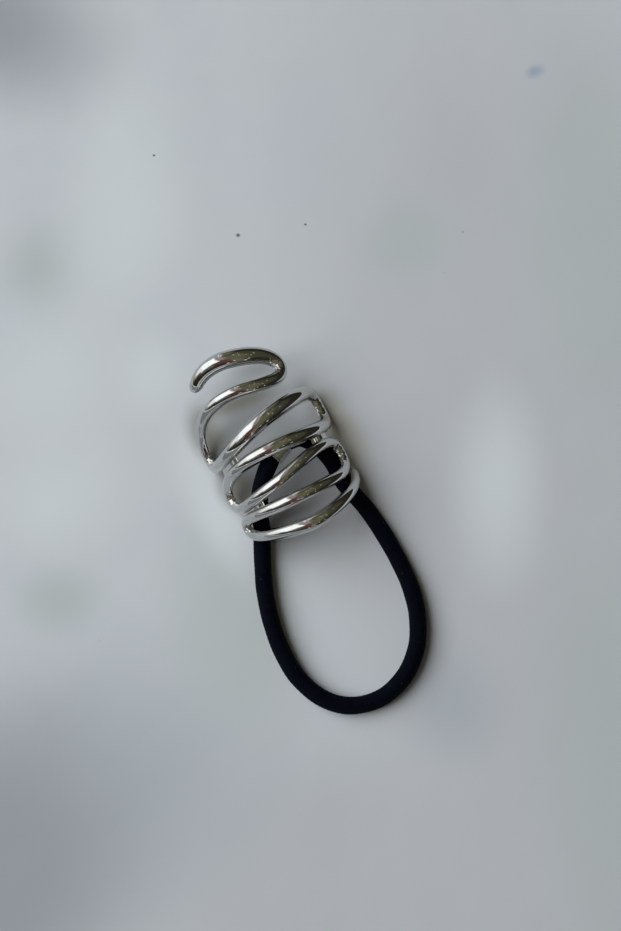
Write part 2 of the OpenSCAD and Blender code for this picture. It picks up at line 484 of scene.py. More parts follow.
def ribbon_path():
    """Distance, place on the unrolled arch and width, every PATH_STEP along the ribbon."""
    places = [flat_place(ROWS[0]) - FIRST_TIP * flat_heading(ROWS[0])]
    widths = [ROWS[0][5]]
    for here, there in zip(ROWS[:-1], ROWS[1:], strict=True):
        s = np.linspace(0, 1, CURVE_STEPS, endpoint=False)[:, None]
        a = flat_place(here)
        d = flat_place(there)
        b = a + here[4] * flat_heading(here)
        c = d - there[3] * flat_heading(there)
        places.extend(a * (1 - s) ** 3 + 3 * b * s * (1 - s) ** 2 + 3 * c * s**2 * (1 - s) + d * s**3)
        widths.extend((here[5] + (there[5] - here[5]) * s**2 * (3 - 2 * s))[:, 0])
    end = ROWS[-1]
    places += [flat_place(end), flat_place(end) + LAST_TIP * flat_heading(end)]
    widths += [end[5], end[5]]
    along = distances(np.array(places))
    stops = np.arange(0, along[-1], PATH_STEP)
    across, lengthwise, width = (
        softened(np.interp(stops, along, values)) for values in (*np.array(places).T, widths)
    )
    return stops, np.stack([across, lengthwise], axis=1), width


path_stops, path_places, path_widths = ribbon_path()
path_length = path_stops[-1]
print("ribbon", round(path_length, 1), "mm long")


# %% [markdown]
# ## The ribbon's section and its round ends
#
# The section is half an ellipse over a flat face with softly rounded lower edges, and it swells
# where the ribbon is wide, as cast metal does. At a free end it shrinks while the path goes on,
# which closes the ribbon in a round tip. A section is given in two numbers: across the ribbon,
# and out from the arch.

# %% Section
DOME_STEPS = 26
EDGE_STEPS = 4
END_STEPS = 16
TIP_ANGLE = 0.04
ROUND_L = 2.4
END_LIFT = 0.4
STATION_STEP = 0.15
NARROW = 2.4
THICK_WHERE_NARROW = 1.75
THICKER_BY = 0.52


def thickness(width):
    """The ribbon's thickness in millimetres: it grows with the width."""
    return THICK_WHERE_NARROW + THICKER_BY * (width - NARROW)


def ribbon_section(width, share):
    """Closed outline (across, outwards), from the +side over the dome and back inside."""
    dome = np.linspace(0, np.pi, DOME_STEPS + 1)
    half = width / 2
    thick = thickness(width)
    over = np.stack([half * np.cos(dome), EDGE_R + (thick - EDGE_R) * np.sin(dome)], axis=1)
    edge = np.linspace(0, np.pi / 2, EDGE_STEPS + 1)[1:]
    left = np.stack([-half + EDGE_R * (1 - np.cos(edge)), EDGE_R * (1 - np.sin(edge))], axis=1)
    right = np.stack([-left[::-1, 0], left[::-1, 1]], axis=1)
    outline = share * np.vstack([over, left, right[:-1]])
    outline[:, 1] += thick * (END_LIFT * (1 - share) - 0.5)
    return outline


def rolled(place, heading, outline):
    """A section's outline set on the arch at a place, square to the heading."""
    angle = place[0] / ARCH_R
    out = np.array([math.sin(angle), 0, math.cos(angle)])
    right = np.array([math.cos(angle), 0, -math.sin(angle)])
    side = -math.sin(heading) * right + math.cos(heading) * np.array([0, 1, 0])
    middle = ARCH_R * out + np.array([0, place[1], 0]) + ARCH_SHIFT
    return middle + outline[:, :1] * side + outline[:, 1:] * out


def stations():
    """Distances along the ribbon: close together where an end is rounded off."""
    end = ROUND_L * (1 - np.cos(np.linspace(TIP_ANGLE, np.pi / 2, END_STEPS)))
    middle = np.arange(ROUND_L + STATION_STEP, path_length - ROUND_L, STATION_STEP)
    return np.concatenate([end, middle, path_length - end[::-1]])


def share_at(stop):
    """How much of the full section there is: a quarter circle at each end."""
    from_tip = min(stop, path_length - stop, ROUND_L)
    return math.sqrt(1 - (1 - from_tip / ROUND_L) ** 2)


slopes = np.gradient(path_places, axis=0)
path_headings = np.unwrap(np.arctan2(slopes[:, 1], slopes[:, 0]))
widest = path_widths.max()
print("widest", round(widest, 2), "mm, and", round(thickness(widest), 2), "mm thick there")

# %% [markdown]
# ## Lumps in the bends
#
# A polishing wheel can't reach into a tight bend, so the casting's skin stays lumpy on its inner
# side. The lumps are a sum of random waves, about a tenth of a millimetre high, and they fade out
# where the ribbon runs straight and towards its outer side. How much it bends is read off over a
# few millimetres, so that a short straight stretch inside a bend counts as bent.

# %% Lumps in the bends, and the band
LUMP_HIGH = 0.085
LUMP_FROM = 0.12
LUMP_FULL = 0.28
BEND_SPAN = 2.5
WAVE_COUNT = 24
WAVE_LENGTHS = (0.45, 1.1)
wave_ways = rng.normal(size=(WAVE_COUNT, 3))
wave_ways /= np.linalg.norm(wave_ways, axis=1)[:, None]
wave_ways *= 2 * np.pi / rng.uniform(*WAVE_LENGTHS, WAVE_COUNT)[:, None]
wave_starts = rng.uniform(0, 2 * np.pi, WAVE_COUNT)


def lumps_at(points):
    """A random number, mostly between -1 and 1, for each point in millimetres."""
    return np.sin(points @ wave_ways.T + wave_starts).sum(axis=1) / math.sqrt(WAVE_COUNT)


def bend_at(stop):
    """The turn of the heading per millimetre, over BEND_SPAN either way."""
    around = np.interp([stop - BEND_SPAN, stop + BEND_SPAN], path_stops, path_headings)
    return (around[1] - around[0]) / (2 * BEND_SPAN)


def lumpy(ring, outline, bend):
    """The ring with lumps on the inner side of its bend."""
    tight = min(max((abs(bend) - LUMP_FROM) / (LUMP_FULL - LUMP_FROM), 0), 1)
    inner = np.clip(outline[:, 0] * math.copysign(1, bend) / np.abs(outline[:, 0]).max(), 0, 1)
    outwards = ring - ring.mean(axis=0)
    outwards /= np.linalg.norm(outwards, axis=1)[:, None]
    high = LUMP_HIGH * tight * inner * lumps_at(ring)
    return ring + high[:, None] * outwards


band_rings = []
for stop in stations():
    place = np.array([np.interp(stop, path_stops, path_places[:, k]) for k in (0, 1)])
    heading = np.interp(stop, path_stops, path_headings)
    width = np.interp(stop, path_stops, path_widths)
    outline = ribbon_section(width, share_at(stop))
    band_rings.append(lumpy(rolled(place, heading, outline), outline, bend_at(stop)))
band = skin("cuff_band", np.array(band_rings)[:, ::-1] * MM)
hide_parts("spiral_cuff")

# %% [markdown]
# ## Where the turns touch
#
# Three pairs of turns run together in the casting: metal has filled the narrow end of the gap
# between them. Each filling is a thin web that bends with the arch, so it is a flat oval carried
# along the arch's angle. It lies low, so the turns' flanks meet over it in a groove. The third web
# slopes down to its free end and has three small ridges there, which the plating makes glint.

# %% Webs between turns
WEB_THIN = 0.5
WEB_THICK = 1.0
WEB_STEPS = 80
WEB_ACROSS = 40
WEB_HOLLOW = 3
WEB_EDGE_CURVE = 0.5
WEB_END_CURVE = 0.45
WEB_END_SHARE = 0.02
RIDGE_PITCH = 2.0
RIDGES_UP_TO = 47

# For each web the height of its ridges and its ribs:
# [arch angle, along from, along to, how far under the arch's middle line]
WEBS = [
    (0.0, [(-40, 1.75, -2.3, 0.85), (-55, 1.25, -2.75, 0.7), (-63, 1.0, -3.3, 0.6)]),
    (0.0, [(-36, -9.9, -13.55, 0.75), (-46, -10.1, -13.3, 0.7), (-66, -9.9, -13.0, 0.6)]),
    (0.09, [(41, -2.3, -6.1, 1.15), (47, -2.25, -6.05, 0.3), (57, -2.1, -6.0, 0.2)]),
]


def web_ring(angle, start, end, low, ridges, share):
    """A flat closed outline from one turn to the other; share shrinks it at the web's ends."""
    out = np.array([math.sin(angle), 0, math.cos(angle)])
    turn = np.linspace(0, 2 * np.pi, WEB_ACROSS, endpoint=False)
    sideways = np.cos(turn)
    up = np.sin(turn)
    thick = WEB_THIN + (WEB_THICK - WEB_THIN) * np.abs(sideways) ** WEB_HOLLOW
    along_cuff = (start + end) / 2 + (start - end) / 2 * sideways
    height = thick / 2 * share * np.sign(up) * np.abs(up) ** WEB_EDGE_CURVE
    ridges *= min(max((RIDGES_UP_TO - math.degrees(angle)) / RIDGE_PITCH, 0), 1)
    ridge = ridges * math.sin(2 * math.pi * math.degrees(angle) / RIDGE_PITCH) * up
    ring = (ARCH_R - low + height + share * ridge)[:, None] * out
    ring[:, 1] = along_cuff
    return ring + ARCH_SHIFT


def web(name, ridges, ribs):
    """One web from its ribs, with rounded ends that reach a little past the outer ribs."""
    ribs = np.array(ribs, float)
    grow = math.degrees(WEB_THICK / 2 / ARCH_R)
    order = np.argsort(ribs[:, 0])
    middle = (ribs[0, 0] + ribs[-1, 0]) / 2
    half = abs(ribs[-1, 0] - ribs[0, 0]) / 2
    rings = []
    for k in range(WEB_STEPS):
        t = math.pi * (k / (WEB_STEPS - 1) - 0.5)
        angle = middle + (half + grow) * math.sin(t) * np.sign(ribs[-1, 0] - ribs[0, 0])
        share = max(math.cos(t), WEB_END_SHARE) ** WEB_END_CURVE
        start, end, low = (np.interp(angle, ribs[order, 0], ribs[order, c]) for c in (1, 2, 3))
        rings.append(web_ring(math.radians(angle), start, end, low, ridges, share))
    return skin(name, np.array(rings) * MM)


webs = [web(f"cuff_web_{k + 1}", ridges, ribs) for k, (ridges, ribs) in enumerate(WEBS)]

# %% [markdown]
# ## The sleeve and its solder
#
# The elastic's ends sit in a short thin tube with a small rolled lip at each mouth. It is turned
# on a lathe here: one profile of [along, radius] pairs goes out over the outside and back through
# the bore.

# %% Sleeve
SLEEVE_BORE = 1.78
BORE_FROM = 0.3
BORE_SEEN = 1.0
LIP = 0.14
LIP_PROUD = 0.06
LIP_STARTS = -0.6
LIP_POINTS = 12
SLEEVE_SIDES = 64


def sleeve_profile():
    """Half of the sleeve's outline as [along, radius], from mid-length to the mouth and back."""
    half = SLEEVE_L / 2
    radius = SLEEVE_D / 2
    outside = [(s * (half - 4 * LIP), radius - LIP_PROUD) for s in (0, 0.25, 0.5, 0.75, 1.0)]
    lip = np.linspace(LIP_STARTS, np.pi, LIP_POINTS)
    mouth = [(half - LIP + LIP * math.sin(a), radius - LIP + LIP * math.cos(a)) for a in lip]
    bore = [(half - BORE_FROM, SLEEVE_BORE), (half - BORE_SEEN, SLEEVE_BORE)]
    return outside + mouth + bore


right_half = sleeve_profile()
left_half = [(-x, r) for x, r in reversed(right_half[1:])]
across = np.array([-sleeve_dir[1], sleeve_dir[0], 0.0])
lathe = np.linspace(0, 2 * np.pi, SLEEVE_SIDES, endpoint=False)[:, None]
spokes = np.cos(lathe) * across + np.sin(lathe) * np.array([0, 0, 1.0])
sleeve_rings = [SLEEVE_MID + x * sleeve_dir + r * spokes for x, r in left_half + right_half]
sleeve = skin("elastic_sleeve", np.array(sleeve_rings) * MM, closed_ends=False)

# %% [markdown]
# The solder that holds the sleeve under the strand is a soft mound with a slight waist. It runs
# from the sleeve's back up into the strand, so it is a stack of level ovals and its two ends are
# hidden in the metal.

# %% Solder over the sleeve
STRAND_THICK = 1.6
STRAND_Y = -2.4
MOUND_RINGS = 12
MOUND_SIDES = 32
MOUND_WAIST = 0.16
MOUND_SHORTER = 0.35
MOUND_WIDE = 0.62
MOUND_FOOT = np.array([0, 0.25, SLEEVE_D / 4])
INTO_STRAND = 0.1


def solder_mound():
    """Level oval outlines from the sleeve's back up into the strand."""
    turn = np.linspace(0, 2 * np.pi, MOUND_SIDES, endpoint=False)[:, None]
    low = SLEEVE_MID + MOUND_FOOT
    strand_inside = ARCH_R - STRAND_THICK / 2
    high = np.array([SLEEVE_MID[0], (SLEEVE_MID[1] + STRAND_Y) / 2, strand_inside + INTO_STRAND])
    long_half = (SLEEVE_L / 2 - MOUND_SHORTER) * np.cos(turn) * sleeve_dir
    short_half = STRAND_THICK * MOUND_WIDE * np.sin(turn) * across
    rings = []
    for s in np.linspace(0, 1, MOUND_RINGS):
        waist = 1 - MOUND_WAIST * math.sin(math.pi * s)
        rings.append(low + (high - low) * s + waist * (long_half + short_half))
    return np.array(rings)


solder = skin("sleeve_solder", solder_mound() * MM)

# %% [markdown]
# ## Shader maths as Python
#
# A material is a small sum over the surface: so much noise, times so much, plus a little. Written
# as wires and boxes that is hard to read, so a `Wire` stands for one output in a node tree, and
# Python's own signs add the Math nodes. A `Recipe` holds the tree and makes every other node.

# %% Wires
def both_ways(operation):
    """The two methods behind a sign: the wire on its left, or on its right as in 1 - mask."""

    def wire_first(self, other):
        return self.recipe.maths(operation, self, other)

    def wire_last(self, other):
        return self.recipe.maths(operation, other, self)

    return wire_first, wire_last


class Wire:
    """One output of a node. Plus, minus, times and divide work with numbers or other wires."""

    __add__, __radd__ = both_ways("ADD")
    __sub__, __rsub__ = both_ways("SUBTRACT")
    __mul__, __rmul__ = both_ways("MULTIPLY")
    __truediv__, __rtruediv__ = both_ways("DIVIDE")

    def __init__(self, recipe, socket):
        self.recipe = recipe
        self.socket = socket

    def between(self, low, high):
        """0 at low, 1 at high, and smooth from one to the other."""
        values = {"Value": self, "From Min": low, "From Max": high}
        return self.recipe.node("ShaderNodeMapRange", {"interpolation_type": "SMOOTHSTEP"}, values)

    def part(self, output):
        """Another output of the same node."""
        return Wire(self.recipe, self.socket.node.outputs[output])


print("a Wire knows", [name for name in vars(Wire) if not name.startswith("__")])

# %% [markdown]
# A recipe's node method makes any node from its type, its settings and what its sockets are fed.
# The other methods are short names for the nodes that come up again and again. Two of them are
# this lesson's own: a place on the picture, and a soft oval or box drawn on it.

# %% Recipes
class Recipe:
    """A node tree that is filled by calls; what they return can be used in sums."""

    def __init__(self, owner):
        owner.use_nodes = True
        self.tree = owner.node_tree
        self.tree.nodes.clear()

    def node(self, kind, settings=None, values=None, output=0):
        """Adds a node. settings are its own, values are numbers or wires for its sockets."""
        made = self.tree.nodes.new(kind)
        for name, value in (settings or {}).items():
            setattr(made, name, value)
        for name, value in (values or {}).items():
            if isinstance(value, Wire):
                self.tree.links.new(value.socket, made.inputs[name])
            else:
                made.inputs[name].default_value = value
        return Wire(self, made.outputs[output]) if made.outputs else made

    def maths(self, operation, *numbers):
        return self.node("ShaderNodeMath", {"operation": operation}, dict(enumerate(numbers)))

    def vectors(self, operation, *vectors, output="Vector"):
        values = dict(enumerate(vectors))
        return self.node("ShaderNodeVectorMath", {"operation": operation}, values, output)

    def along(self, vector, direction):
        """How far a vector goes in a fixed direction."""
        return self.vectors("DOT_PRODUCT", vector, tuple(direction), output="Value")

    def place(self):
        """The point on the object's own axes, in metres."""
        return self.node("ShaderNodeTexCoord", {}, {}, "Object")

    def noise(self, place, scale, detail=2.0, roughness=0.5):
        values = {"Vector": place, "Scale": scale, "Detail": detail, "Roughness": roughness}
        return self.node("ShaderNodeTexNoise", {}, values)

    def mix(self, factor, first, second):
        """A colour between two, by a factor from 0 to 1."""
        pair = [v if isinstance(v, Wire) else (*v, 1) for v in (first, second)]
        values = {0: factor, 6: pair[0], 7: pair[1]}
        return self.node("ShaderNodeMix", {"data_type": "RGBA"}, values, 2)

    def picture_place(self, place):
        """The point as X to the right and Y up the picture, from where the camera looks."""
        from_middle = self.vectors("SUBTRACT", place, tuple(LOOK_AT))
        right = self.along(from_middle, picture_right)
        up = self.along(from_middle, floor_up)
        return self.node("ShaderNodeCombineXYZ", {}, {"X": right, "Y": up})

    def inside(self, place, shape, middle, half, turn, soft):
        """1 inside an oval or a box, 0 outside it; turn is in degrees."""
        values = {"Location": (*middle, 0), "Rotation": (0, 0, math.radians(turn)), "Scale": (*half, 1)}
        own = self.node("ShaderNodeMapping", {"vector_type": "TEXTURE"}, {"Vector": place, **values})
        if shape == "oval":
            reach = self.vectors("LENGTH", own, output="Value")
        else:
            edges = self.node("ShaderNodeSeparateXYZ", {}, {"Vector": self.vectors("ABSOLUTE", own)})
            reach = self.maths("MAXIMUM", edges, edges.part("Y"))
        return reach.between(1 + soft, 1 - soft)

    def bump(self, height, distance, strength=1.0):
        values = {"Height": height, "Distance": distance, "Strength": strength}
        return self.node("ShaderNodeBump", {}, values)

    def shiny(self, **values):
        """The everyday shader; an underscore in a value's name stands for a space."""
        named = {name.replace("_", " "): value for name, value in values.items()}
        return self.node("ShaderNodeBsdfPrincipled", {}, named)


print("a Recipe knows", [name for name in vars(Recipe) if not name.startswith("__")])


def finish(name, recipe_for, *pieces, slot=None):
    """Makes a material with a recipe function and gives it to pieces."""
    material = bpy.data.materials.new(name)
    recipe = Recipe(material)
    shader = recipe_for(recipe)
    recipe.node("ShaderNodeOutputMaterial", {}, {"Surface": shader})
    for piece in pieces:
        piece.data.materials.clear()
        piece.data.materials.append(material)
    print(name, "uses", len(recipe.tree.nodes), "nodes")


# %% [markdown]
# ## Polished metal
#
# The plating is a mirror with a slightly dull, warm silver colour. A perfect mirror looks drawn,
# so three things break it: the casting under the plating is a little wavy, fingers have left
# faint duller clouds, and fine hairlines run over it. The waves are only microns high, but a
# mirror doubles every slope.

# %% Metal recipe
METAL_BRIGHT = (0.60, 0.597, 0.59)
METAL_CLOUDED = (0.56, 0.553, 0.54)
CLOUDS_PER_M = 420
WAVES_PER_M = 520
RIPPLES_PER_M = 1900
HAIRLINES_PER_M = 5200
METAL_RELIEF = 0.000012


def polished_metal(r):
    place = r.place()
    clouds = r.noise(place, CLOUDS_PER_M, 4, 0.6).between(0.42, 0.7)
    hairlines = r.noise(place, HAIRLINES_PER_M, 2, 0.6)
    waves = r.noise(place, WAVES_PER_M, 2, 0.5)
    ripple = r.noise(place, RIPPLES_PER_M, 2, 0.5)
    return r.shiny(
        Base_Color=r.mix(clouds, METAL_BRIGHT, METAL_CLOUDED),
        Metallic=1.0,
        Roughness=0.01 + 0.03 * clouds,
        Normal=r.bump(waves + 0.18 * ripple + 0.02 * hairlines, METAL_RELIEF),
    )


finish("polished_metal", polished_metal, band, sleeve, solder, *webs, slot="polished_metal")


# %% [markdown]
# ## Black elastic, fibres and lint
#
# The cover is near-black with a trace of navy. Its colour barely matters; what shows it as
# textile is that the yarns are bundles of filaments, so the bump draws lines along whichever
# yarn is on top. The same two yarn counts as in the mesh give the lines their place.

# %% Elastic recipes
COVER_BLACK = (0.0022, 0.0026, 0.0062)
COVER_NAVY = (0.0040, 0.0050, 0.0115)
FILAMENTS = 7
WEAR_PER_M = 900
FLUFF_PER_M = 9000
TINTS_PER_M = 3000
COVER_RELIEF = 0.00002
LINT_GREY = (0.16, 0.17, 0.19)
LINT_WHITE = (0.34, 0.35, 0.37)


def covered_elastic(r):
    wrap = r.node("ShaderNodeUVMap", {"uv_map": "wrap"})
    turns = r.node("ShaderNodeSeparateXYZ", {}, {"Vector": wrap})
    steps = turns.part("Y") / YARN_STEP
    first = turns * YARNS + steps
    second = turns * YARNS - steps
    crossing = r.maths("FLOOR", first) + r.maths("FLOOR", second)
    odd = 2 * r.maths("FRACT", crossing * 0.5)
    yarn = first * (1 - odd) + second * odd
    filaments = r.maths("SINE", yarn * (2 * math.pi * FILAMENTS))
    place = r.place()
    worn = r.noise(place, WEAR_PER_M, 3, 0.6).between(0.4, 0.75)
    fluff = r.noise(place, FLUFF_PER_M, 2, 0.6)
    return r.shiny(
        Base_Color=r.mix(worn, COVER_BLACK, COVER_NAVY),
        Roughness=0.72 + 0.15 * worn,
        Specular_IOR_Level=0.07,
        Normal=r.bump(0.5 * filaments + fluff, COVER_RELIEF, 0.8),
    )


def fibre_black(r):
    tone = r.noise(r.place(), TINTS_PER_M)
    colour = r.mix(tone, COVER_BLACK, COVER_NAVY)
    return r.shiny(Base_Color=colour, Roughness=0.8, Specular_IOR_Level=0.06)


def pale_lint(r):
    tone = r.noise(r.place(), TINTS_PER_M)
    return r.shiny(Base_Color=r.mix(tone, LINT_GREY, LINT_WHITE), Roughness=0.9)


finish("covered_elastic", covered_elastic, elastic, slot="covered_elastic")
finish("fibre_black", fibre_black, fibres, slot="covered_elastic")
finish("pale_lint", pale_lint, lint, slot="covered_elastic")

# %% [markdown]
# ## Paper
#
# The cuff lies on a big sheet of smooth pale paper, which fills much of what the metal mirrors.
# It isn't quite even: soft waves a hand wide change its brightness a little, and here and there is
# a speck or a smudge. One large flat face is enough, since the waves are too shallow to show an
# outline. The broad tones are a short table of soft ovals, and most of them are painted light and
# shade: painted light on the window side, and painted shade where the light falls off towards the
# right, the bottom and the corners. The shade and brown ones are painted shade under the arch,
# where this one window leaves the paper too pale, and the olive one is the cuff's painted shadow
# beside it, tinted by the olive light that comes off the metal. The metal mirrors dark room where
# the paper's right-hand end would be, so that end is a piece of its own, which shiny things don't see.

# %% Paper colours and tones
PAPER_RIGHT = 0.080
MIRRORED_RIGHT = 0.048
PAPER_TOP = 0.118
PAPER_LEFT = 0.9
PAPER_BOTTOM = 0.30
MOTTLE_PER_M = 26
WAVES_IN_PAPER_PER_M = 9
DENTS_PER_M = 48
GRAIN_PER_M = 700
SPECKS_PER_M = 260
PAPER_RELIEF = 0.005
PAPER_COOL = (0.76, 0.785, 0.815)
PAPER_WARM = (0.79, 0.80, 0.815)
SPECK = (0.30, 0.32, 0.36)
# Painted light: paler patches on the paper, most of them on the window side.
PAINTED_PALE_LIGHT = (0.86, 0.89, 0.905)
# Painted shade where the window's light falls off: towards the right, the bottom and, darkest, the
# corners.
GREENISH_PAINTED_SHADE = (0.66, 0.695, 0.69)
LILAC_PAINTED_SHADE = (0.70, 0.705, 0.73)
DULL_PAINTED_SHADE = (0.60, 0.63, 0.67)
CORNER_PAINTED_SHADE = (0.46, 0.48, 0.51)
# Painted shade and painted shadow on the paper under the cuff's arch.
SHADE_TONE = (0.50, 0.505, 0.51)
BROWN_PAINTED_SHADOW = (0.32, 0.305, 0.27)
# Painted shadow beside the cuff, tinted olive by the light that comes off the metal.
OLIVE_PAINTED_SHADOW = (0.62, 0.60, 0.53)
SPOT_TONE = (0.22, 0.21, 0.22)
SMUDGE_TONE = (0.50, 0.56, 0.68)

# Painted light and shade on the paper, and its real specks and smudge, as soft ovals:
# [middle and half size in millimetres to the right and up the picture, turn, softness, colour]
PAPER_LIGHT_SHADE_AND_MARKS = [
    ((50, -5), (44, 120), 8, 0.5, LILAC_PAINTED_SHADE),
    ((15, -92), (74, 26), 0, 0.5, LILAC_PAINTED_SHADE),
    ((-46, -72), (32, 24), 20, 0.8, DULL_PAINTED_SHADE),
    ((-72, -92), (28, 33), -20, 0.7, CORNER_PAINTED_SHADE),
    ((-80, 108), (26, 16), -20, 0.8, CORNER_PAINTED_SHADE),
    ((66, 55), (15, 42), 0, 0.7, GREENISH_PAINTED_SHADE),
    ((68, -62), (14, 44), 0, 0.7, GREENISH_PAINTED_SHADE),
    ((23, 53), (9, 8), 20, 0.8, GREENISH_PAINTED_SHADE),
    ((-63, 46), (7, 9), 0, 0.9, GREENISH_PAINTED_SHADE),
    ((-17, -36), (12, 22), 10, 0.8, GREENISH_PAINTED_SHADE),
    ((-57, -31), (7, 6), 0, 0.9, GREENISH_PAINTED_SHADE),
    ((32, -54), (8, 10), 0, 0.9, DULL_PAINTED_SHADE),
    ((43, -5), (8, 17), 0, 0.9, PAINTED_PALE_LIGHT),
    ((-44, 62), (12, 26), -8, 0.8, PAINTED_PALE_LIGHT),
    ((-61, 20), (13, 15), 0, 0.9, PAINTED_PALE_LIGHT),
    ((-37, 22), (7, 8), 0, 0.9, PAINTED_PALE_LIGHT),
    ((-58, -8), (13, 11), 20, 0.9, PAINTED_PALE_LIGHT),
    ((-22.5, -9.5), (4.5, 13), 27, 0.9, PAINTED_PALE_LIGHT),
    ((-10.4, 2.0), (10.8, 19.5), 27, 0.4, SHADE_TONE),
    ((-12.8, 22.6), (5.0, 2.0), 10, 0.9, SHADE_TONE),
    ((-16.5, 14.8), (7.0, 1.8), 22, 0.9, BROWN_PAINTED_SHADOW),
    ((-24.2, 7.2), (3.0, 5.5), 20, 0.9, BROWN_PAINTED_SHADOW),
    ((-17.0, -5.0), (3.4, 4.4), 20, 0.8, BROWN_PAINTED_SHADOW),
    ((6.3, 7.7), (4.0, 9.0), 27, 0.9, OLIVE_PAINTED_SHADOW),
    ((-17.0, 54.4), (0.45, 0.4), 0, 0.5, SPOT_TONE),
    ((-37.0, 73.8), (0.3, 0.25), 0, 0.5, SPOT_TONE),
    ((-1.2, 57.0), (0.3, 0.25), 0, 0.5, SPOT_TONE),
    ((53.5, 94.5), (1.8, 1.2), 20, 0.9, SMUDGE_TONE),
]
print(len(PAPER_LIGHT_SHADE_AND_MARKS), "soft tones on the paper")


# %% Paper sheet
def card_mesh(name, corners):
    """One four-cornered face, put on the stage: it isn't part of the cuff."""
    mesh = bpy.data.meshes.new(name)
    mesh.from_pydata(corners, [], [(0, 1, 2, 3)])
    card = bpy.data.objects.new(name, mesh)
    bpy.context.collection.objects.link(card)
    return card


def pale_paper(r):
    place = r.place()
    mottle = r.noise(place, MOTTLE_PER_M, 3, 0.55).between(0.35, 0.65)
    waves = r.noise(place, WAVES_IN_PAPER_PER_M, 2, 0.5)
    grain = r.noise(place, GRAIN_PER_M, 3, 0.6)
    dents = r.noise(place, DENTS_PER_M, 2, 0.5)
    specks = r.noise(place, SPECKS_PER_M, 1, 0.5).between(0.80, 0.86)
    colour = r.mix(mottle, PAPER_COOL, PAPER_WARM)
    sheet = r.picture_place(place)
    # Each oval mixes in its colour: painted light, painted shade and shadow, and last the real specks
    # and smudge.
    for (right, up), (half_right, half_up), turn, soft, tone in PAPER_LIGHT_SHADE_AND_MARKS:
        middle = (right * MM, up * MM)
        half = (half_right * MM, half_up * MM)
        colour = r.mix(r.inside(sheet, "oval", middle, half, turn, soft), colour, tone)
    return r.shiny(
        Base_Color=r.mix(specks, colour, SPECK),
        Roughness=0.9,
        Specular_IOR_Level=0.1,
        Normal=r.bump(waves + 0.10 * dents + 0.004 * grain, PAPER_RELIEF, 0.5),
    )


def sheet_corners(left, right):
    corners = ((left, -PAPER_BOTTOM), (right, -PAPER_BOTTOM), (right, PAPER_TOP), (left, PAPER_TOP))
    return [LOOK_AT + x * picture_right + y * floor_up for x, y in corners]


paper = card_mesh("paper", sheet_corners(-PAPER_LEFT, MIRRORED_RIGHT))
paper_end = card_mesh("paper_end", sheet_corners(MIRRORED_RIGHT, PAPER_RIGHT))
paper_end.visible_glossy = False
finish("pale_paper", pale_paper, paper, paper_end)

# %% [markdown]
# ## The window's light
#
# Soft daylight comes from a tall window on the left, so shadows are faint and fall to the right.
# A camera can't hold a window's full brightness: in the mirror of the metal it is only paper
# white. So the light comes from a glowing card that rays off shiny things don't see, and the
# room's chart further down carries the window's picture, as bright as a camera would show it.

# %% Window light
WINDOW_AZIMUTH = math.radians(165)
WINDOW_DISTANCE = 0.95
WINDOW_HALF_WIDTH = 0.70
WINDOW_BOTTOM = 0.42
WINDOW_TOP = 2.3
WINDOW_LIGHT = (3.62, 3.84, 4.00)


def compass(azimuth, height=0.0):
    """A direction by its angle round the picture from its right-hand side, and its height."""
    level = math.cos(azimuth) * picture_right + math.sin(azimuth) * floor_up
    return math.cos(height) * level + Vector((0, 0, math.sin(height)))


def window_corners():
    facing = compass(WINDOW_AZIMUTH)
    sideways = Vector((-facing.y, facing.x, 0)) * WINDOW_HALF_WIDTH
    foot = LOOK_AT + WINDOW_DISTANCE * facing + Vector((0, 0, WINDOW_BOTTOM))
    top = foot + Vector((0, 0, WINDOW_TOP - WINDOW_BOTTOM))
    return [foot - sideways, foot + sideways, top + sideways, top - sideways]


def daylight(r):
    return r.node("ShaderNodeEmission", {}, {"Color": (*WINDOW_LIGHT, 1)})


window = card_mesh("window", window_corners())
window.visible_camera = False
window.visible_glossy = False
finish("daylight", daylight, window)

# %% [markdown]
# ## The room, drawn as a star chart
#
# Polished metal has no look of its own: it shows its surroundings. Here they are drawn as on a
# star chart, round, with straight overhead in the middle and the horizon at distance 1, so every
# patch of the room is an oval or a box with a place, a size and a turn on that chart. Noise shifts
# the chart a little before the patches are looked up, which frays their edges. Shiny things see
# the chart a little brighter than drawn; the paper gets less than half of it, or the room would
# wash out the window's shadows.

# %% Chart of the room
OLIVE = (0.145, 0.140, 0.085)
DIM_OLIVE = (0.064, 0.062, 0.041)
DARK = (0.016, 0.015, 0.013)
TABLE = (0.21, 0.225, 0.235)
TABLE_EDGE = (0.70, 0.72, 0.73)
IN_THE_METAL = 1.1
ON_THE_PAPER = 0.45
BACKDROP = (0.42, 0.45, 0.47)
CHART_FRAY = 0.2

# The table's edge and what lies before it are ovals round one middle, as half sizes on the chart.
TABLE_MIDDLE = (0.25, 0.35)
TABLE_TURN = -25
BEFORE_TABLE = (1.36, 1.06)
TABLE_FROM = (1.46, 1.16)
TABLE_FLAT_FROM = (1.50, 1.20)
FAR_EDGE_FROM = (1.11, 1.11)

